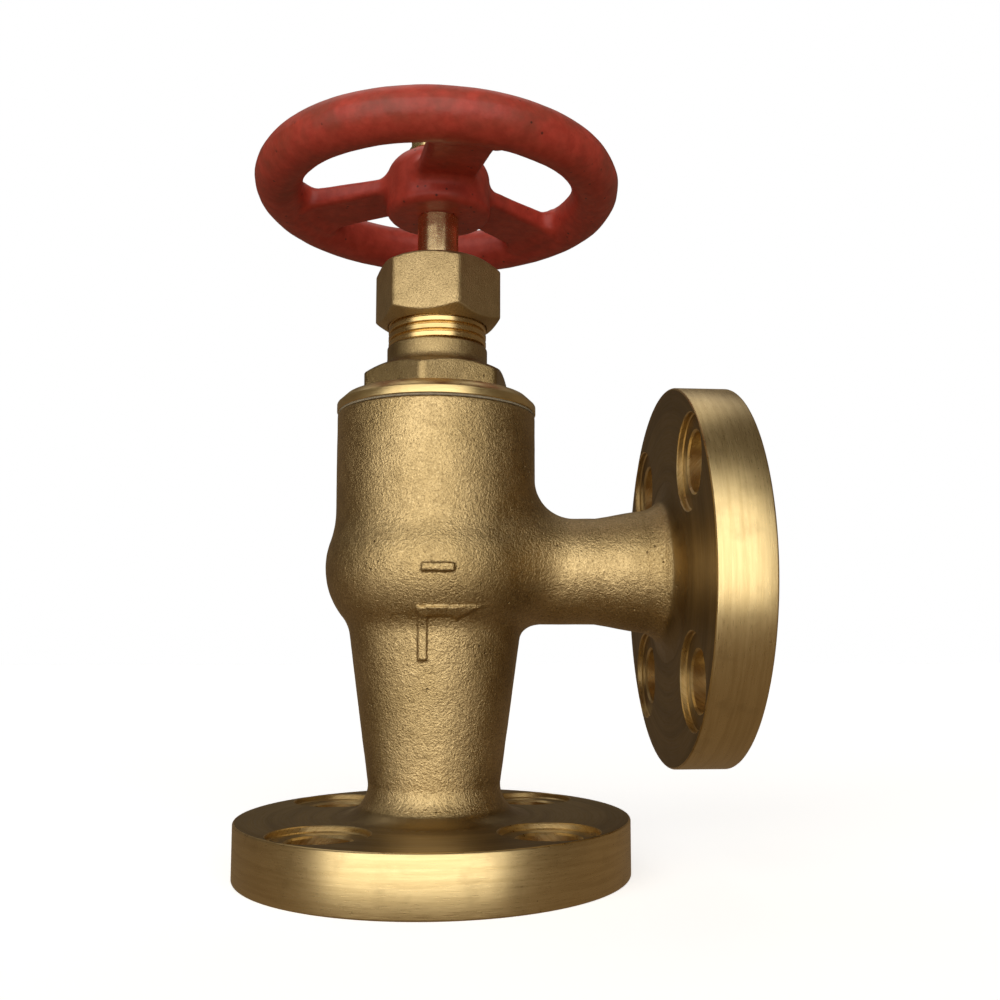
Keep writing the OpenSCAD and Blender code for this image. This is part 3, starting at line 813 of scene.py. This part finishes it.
gasket_in = BODY_R - SPIGOT_IN + 0.05
gasket_out = BODY_R - 0.1
gasket = spun("bonnet_gasket_ring", [(gasket_in, BODY_TOP_Z), (gasket_out - 0.1, BODY_TOP_Z)]
              + arc(gasket_out - 0.2, (BODY_TOP_Z + GASKET_TOP_Z) / 2, 0.2, -60, 60, 6)
              + [(gasket_out - 0.1, GASKET_TOP_Z), (gasket_in, GASKET_TOP_Z)], 192, GASKET)
rides(gasket, "valve_body", "bonnet_gasket")


# ---------------------------------------------------------------------------
# Packing nut, stem, handwheel and what holds it
# ---------------------------------------------------------------------------

def hexagonal(flats_r, turn, foot, top, rounding=0.3, limit=0.5):
    """A shape for spun(): flats on the rows beyond flats_r, cut by a cone at the foot and the top.

    foot and top are (height, radius there, growth of the cone's radius per millimetre).
    """
    def shape(angle, r, z):
        side = soft_min(r, hexagon_radius(angle, flats_r, turn, rounding), 0.2)
        for cone, way in ((foot, 1), (top, -1)):
            side = soft_min(side, cone[1] + way * (z - cone[0]) * cone[2], limit)
        return np.where(r > flats_r + 0.6, side, r), z
    return shape


PACKING_NUT_FLATS_R = 15.0
PACKING_NUT_OUT_R = 18.5  # beyond the corners, before the flats are cut
PACKING_NUT_TURN = -73
WHEEL_NUT_FLATS_R = 6.5
WHEEL_NUT_OUT_R = 8.4
WHEEL_NUT_TURN = -2
END_THREAD_R = 4.0
END_THREAD_PITCH = 1.25
SQUARE_HALF_W = 4.1


def packing_nut():
    """Hexagon with a screwed bore below and, above it, the shoulder that presses the gland."""
    z0, z1 = NUT_LOW[2], NUT_HIGH[2]
    bore, hole = THREAD_R + 0.05, STEM_R + 0.3
    shoulder = GLAND_HIGH[2]
    outline = [(bore, z0 + 0.4), (bore + 0.3, z0), (13.55, z0)]
    outline += dense([(PACKING_NUT_OUT_R, z0 + 0.02), (PACKING_NUT_OUT_R, z1 - 0.02)], 0.22)
    outline += [(14.3, z1), (10, z1), (hole + 0.5, z1), (hole, z1 - 0.5), (hole, shoulder), (bore, shoulder)]
    shape = hexagonal(PACKING_NUT_FLATS_R, PACKING_NUT_TURN, (z0, 13.6, 1.55), (z1, 14.4, 1.75))
    return spun("packing_nut_hexagon", outline, 288, NUT, shape, sharp=math.radians(35))


def stem():
    """Button, neck, screw, plain length, square for the wheel and thread for its nut."""
    foot, top = STEM_LOW[2], STEM_HIGH[2]
    shank, shank_top = WHEEL_LOW[2], WHEEL_HIGH[2] - 1
    button, neck, end_r = SCREW_R + 2, SCREW_R - 1, END_THREAD_R
    outline = [(0, foot), (button - 0.4, foot), (button, foot + 0.4), (button, foot + 2.6),
               (button - 0.4, foot + 3), (neck, foot + 3.2), (neck, SCREW_LOW_Z),
               (SCREW_R - 0.6, SCREW_LOW_Z)]
    outline += dense([(SCREW_R, SCREW_LOW_Z + 0.4), (SCREW_R, SCREW_HIGH_Z - 0.4)], 0.25)
    # Rows on the plain length keep the shading's change close to the screw and to the square
    outline += [(STEM_R, SCREW_HIGH_Z), (STEM_R, 125), (STEM_R, 150)]
    outline += dense([(STEM_R, 158), (STEM_R, shank - 0.6), (STEM_R, shank)], 1.5)
    outline += dense([(STEM_R - 0.001, shank + 0.02), (STEM_R - 0.001, shank_top)], 1.5)
    outline += [(end_r, shank_top + 0.02)]
    outline += dense([(end_r, shank_top + 0.6), (end_r, top - 0.7)], 0.12)
    outline += [(end_r - 0.7, top), (0, top)]
    drive = helix(SCREW_R, SCREW_PITCH, 1.2, SCREW_LOW_Z, SCREW_HIGH_Z)
    end = helix(end_r, END_THREAD_PITCH, 0.6, shank_top + 0.5, top + 0.6)

    def shape(angle, r, height):
        r, height = drive(angle, r, height)
        r, height = end(angle, r, height)
        local = (angle + TAU / 8) % (TAU / 4) - TAU / 8
        square = SQUARE_HALF_W / np.cos(local)
        on_shank = (height > shank + 0.01) & (height < shank_top + 0.01)
        return np.where(on_shank, np.minimum(r, square), r), height
    return spun("stem_spindle", outline, 128, STEM, shape, solid=True, sharp=math.radians(50))


HUB_Z = WHEEL_LOW[2]
HUB_TOP_Z = WHEEL_HIGH[2]
HUB_R = 13.9
HUB_EDGE = 2.0
HUB_SIDE_H = 9.3  # from the hub's foot to the start of its dome
HUB_FILLET = 2.6
DOME_R = 6.5
DOME_TOP_R = 7.4
RIM_R = 6.3
RIM_CENTRE_R = WHEEL_HIGH[0] - RIM_R
RIM_Z = HUB_Z + 7.5
SPOKE_HALF_W = 7.6
SPOKE_EDGE = 1.3
SPOKE_START_R = 14.0  # where a spoke leaves the hub
SPOKE_TURN = -80.5
SPOKE_COUNT = 3


def wheel_field():
    """The wheel as one solid field: hub, spokes, rim with its casting seam, and the square hole."""
    hub = outline_field(
        [(-5, HUB_Z + 0.1)] + arc(HUB_R - HUB_EDGE, HUB_Z + HUB_EDGE + 0.1, HUB_EDGE, -90, 0, 8)
        + [(HUB_R, HUB_Z + HUB_SIDE_H)] + arc(DOME_TOP_R, HUB_TOP_Z - 7.2, DOME_R, 8, 84, 10)
        + [(DOME_TOP_R, HUB_TOP_Z), (-5, HUB_TOP_Z)], (0, HUB_Z - 6), (30, HUB_TOP_Z + 6))
    slow, fast = waves(12, 11, 21), waves(14, 3.0, 22)

    def spoke(along, across, z):
        """One rounded spoke, a little lower and wider at the rim than at the hub."""
        run = np.clip((along - SPOKE_START_R) / (RIM_CENTRE_R - SPOKE_START_R), 0, 1)
        under = HUB_Z + 6.1 - 2.5 * run
        top = HUB_Z + 10.3 - 0.5 * run
        wide = np.abs(across) - (SPOKE_HALF_W + 1.6 * run ** 3 - SPOKE_EDGE)
        tall = np.abs(z - (top + under) / 2) - ((top - under) / 2 - SPOKE_EDGE)
        outside = np.hypot(np.maximum(wide, 0), np.maximum(tall, 0))
        solid = outside + np.minimum(np.maximum(wide, tall), 0) - SPOKE_EDGE
        return np.maximum(solid, np.maximum(4 - along, along - RIM_CENTRE_R))

    def field(p):
        x, y, z = p[..., 0], p[..., 1], p[..., 2]
        r = np.hypot(x, y)
        arms = None
        for i in range(SPOKE_COUNT):
            turn = math.radians(SPOKE_TURN) + i * TAU / SPOKE_COUNT
            one = spoke(x * math.cos(turn) + y * math.sin(turn), -x * math.sin(turn) + y * math.cos(turn), z)
            arms = one if arms is None else np.minimum(arms, one)
        core = round_union(hub(r, z), arms, HUB_FILLET)
        rim = np.hypot(r - RIM_CENTRE_R, z - RIM_Z) - (RIM_R - 0.12)
        seam = 0.10 * np.exp(-((z - RIM_Z - 0.4) / 0.5) ** 2) * (r > RIM_CENTRE_R)
        # The fillet between rim and spokes fades out towards the rim's outside
        reach = 0.3 + 3.3 * np.clip((RIM_CENTRE_R - 1.5 - r) / 4, 0, 1)
        whole = round_union(core, rim - seam, reach)
        whole = whole - np.clip(0.09 * slow(p) + 0.03 * fast(p), -0.12, 0.11)
        whole = np.maximum(whole, np.maximum(HUB_Z + 0.05 - z, z - HUB_TOP_Z))
        hole = np.maximum(np.abs(x), np.abs(y)) - SQUARE_HALF_W
        return np.maximum(whole, -hole)
    return field


rides(packing_nut(), "packing_nut_body", "packing_nut")
rides(stem(), "stem_body", "stem")
wheel = sculpted("handwheel_casting", wheel_field(), (-50, -50, HUB_Z - 1), (50, 50, HUB_TOP_Z + 1),
                 step=0.5, material=ENAMEL)
rides(wheel, "stem_body", "handwheel")

NUT_HOLE_R = END_THREAD_R + 0.05
washer_r, washer_z0, washer_z1 = WASHER_HIGH[0], WASHER_LOW[2], WASHER_HIGH[2]
washer = spun("wheel_washer_disc", [
    (NUT_HOLE_R, washer_z0), (washer_r - 0.2, washer_z0), (washer_r, washer_z0 + 0.2),
    (washer_r, washer_z1 - 0.3), (washer_r - 0.3, washer_z1), (NUT_HOLE_R, washer_z1)], 96, YELLOW)
rides(washer, "stem_body", "handwheel_washer")

nut_z0, nut_z1 = WHEEL_NUT_LOW[2], WHEEL_NUT_HIGH[2]
nut_outline = [(NUT_HOLE_R, nut_z0 + 0.3), (4.4, nut_z0), (6.0, nut_z0)]
nut_outline += dense([(WHEEL_NUT_OUT_R, nut_z0 + 0.02), (WHEEL_NUT_OUT_R, nut_z1 - 0.02)], 0.2)
nut_outline += [(6.0, nut_z1), (4.6, nut_z1), (NUT_HOLE_R, nut_z1 - 0.4)]
nut_shape = hexagonal(WHEEL_NUT_FLATS_R, WHEEL_NUT_TURN, (nut_z0, 6.2, 1.7), (nut_z1, 6.2, 1.7), 0.15, 0.2)
wheel_nut = spun("wheel_nut_hexagon", nut_outline, 192, YELLOW, nut_shape, sharp=math.radians(35))
rides(wheel_nut, "stem_body", "handwheel_nut")

# Inner pieces whose CAD shape is right: they only get their finish
INNER = {"disc": RING, "disc_nut": RING, "gland": RING}
INNER.update({f"packing_ring_{i}": PACKING for i in range(1, 5)})
for node, finish in INNER.items():
    for place in frame["nodes"][node].material_slots:
        place.material = finish


# ---------------------------------------------------------------------------
# Floor, light and camera
# ---------------------------------------------------------------------------

def floor():
    """A wide pale floor that glows enough to read as white."""
    half, count = 3000.0, 48
    ticks = np.linspace(-half, half, count + 1)
    points = [(x, y, 0) for x in ticks for y in ticks]
    row = count + 1
    corners = [i * row + j for i in range(count) for j in range(count)]
    faces = [(k, k + row, k + row + 1, k + 1) for k in corners]
    g = Graph("pale_floor", Metallic=0.0, **{"Specular IOR Level": 0.1, "Emission Strength": 0.74})
    haze = g.noise(400, 2)
    colour = g.mix(haze, (0.90, 0.905, 0.91), (0.86, 0.865, 0.87))
    g.feed(g.shader.inputs["Emission Color"], colour)
    obj = piece("floor", points, faces, g.finish(colour, 0.85))
    obj.visible_diffuse = False
    obj.visible_glossy = False
    obj.visible_shadow = False
    return obj


def world():
    """A dim warm room with a large soft window in front, a faint warm patch at the right and two
    lamps high up behind. The camera itself sees plain white.
    """
    made = bpy.data.worlds.new("studio")
    bpy.context.scene.world = made
    made.use_nodes = True
    tree = made.node_tree
    tree.nodes.clear()

    def node(kind, inputs=(), **attributes):
        n = tree.nodes.new(kind)
        for key, value in attributes.items():
            setattr(n, key, value)
        for key, value in dict(inputs).items():
            if isinstance(value, bpy.types.NodeSocket):
                tree.links.new(value, n.inputs[key])
            else:
                n.inputs[key].default_value = value
        return n

    def calc(operation, a, b=0.0):
        return node("ShaderNodeMath", {0: a, 1: b}, operation=operation).outputs[0]

    def step(value, start, end):
        return node("ShaderNodeMapRange", {"Value": value, "From Min": start, "From Max": end},
                    interpolation_type="SMOOTHSTEP").outputs[0]

    way = node("ShaderNodeTexCoord").outputs["Generated"]
    parts = node("ShaderNodeSeparateXYZ", {0: way}).outputs
    azimuth = calc("ARCTAN2", parts[0], calc("MULTIPLY", parts[1], -1.0))
    height = calc("ARCSINE", parts[2])

    def patch(azimuths, heights, soft_a, soft_h):
        """1 inside a range of angles in degrees, easing to 0 over the soft widths."""
        a0, a1 = (math.radians(v) for v in azimuths)
        h0, h1 = (math.radians(v) for v in heights)
        sa, (s0, s1) = math.radians(soft_a), (math.radians(v) for v in soft_h)
        across = calc("MULTIPLY", step(azimuth, a0 - sa, a0 + sa), step(azimuth, a1 + sa, a1 - sa))
        up = calc("MULTIPLY", step(height, h0 - s0, h0 + s0), step(height, h1 + s1, h1 - s1))
        return calc("MULTIPLY", across, up)

    window = patch((-60, 36), (-17, 46), 6, (6, 22))
    side = patch((90, 140), (-15, 40), 14, (10, 14))
    rear = patch((140, 178), (48, 88), 20, (12, 10))
    rear_left = patch((-178, -110), (48, 88), 20, (12, 10))
    lamp = (0.9, 0.87, 0.82)
    total = None
    lights = ((window, (1.90, 1.88, 1.80)), (side, (0.045, 0.032, 0.02)), (rear, lamp), (rear_left, lamp))
    for amount, tint in lights:
        scaled = node("ShaderNodeVectorMath", {0: tint}, operation="SCALE")
        tree.links.new(amount, scaled.inputs["Scale"])
        total = scaled.outputs[0] if total is None else node(
            "ShaderNodeVectorMath", {0: total, 1: scaled.outputs[0]}, operation="ADD").outputs[0]
    upward = step(parts[2], -0.6, 0.9)
    room = node("ShaderNodeMix", data_type="RGBA")
    tree.links.new(upward, room.inputs[0])
    room.inputs[6].default_value = (0.17, 0.120, 0.075, 1)
    room.inputs[7].default_value = (0.085, 0.068, 0.050, 1)
    total = node("ShaderNodeVectorMath", {0: total, 1: room.outputs[2]}, operation="ADD").outputs[0]
    seen = node("ShaderNodeBackground", {"Color": (1, 1, 1, 1), "Strength": 1.0})
    light = node("ShaderNodeBackground", {"Strength": 1.0})
    tree.links.new(total, light.inputs["Color"])
    camera_ray = node("ShaderNodeLightPath").outputs["Is Camera Ray"]
    mixed = node("ShaderNodeMixShader", {0: camera_ray})
    tree.links.new(light.outputs[0], mixed.inputs[1])
    tree.links.new(seen.outputs[0], mixed.inputs[2])
    out = node("ShaderNodeOutputWorld")
    tree.links.new(mixed.outputs[0], out.inputs["Surface"])


floor()
world()

CAMERA_PLACE = (-0.0019, -0.2707, 0.0568)  # metres
CAMERA_PITCH, CAMERA_YAW = 5.71, -4.52  # degrees up from level, and round Z
camera_data = bpy.data.cameras.new("camera")
camera_data.sensor_width = 36.0
camera_data.lens = 37.2
camera_data.shift_x = -0.010
camera_data.shift_y = 0.043
camera_data.clip_start = 0.01
camera = bpy.data.objects.new("camera", camera_data)
camera.location = CAMERA_PLACE
camera.rotation_euler = (math.radians(90 + CAMERA_PITCH), 0, math.radians(CAMERA_YAW))
bpy.context.scene.collection.objects.link(camera)
bpy.context.scene.camera = camera
bpy.context.scene.view_settings.view_transform = "Standard"
bpy.context.scene.view_settings.look = "None"
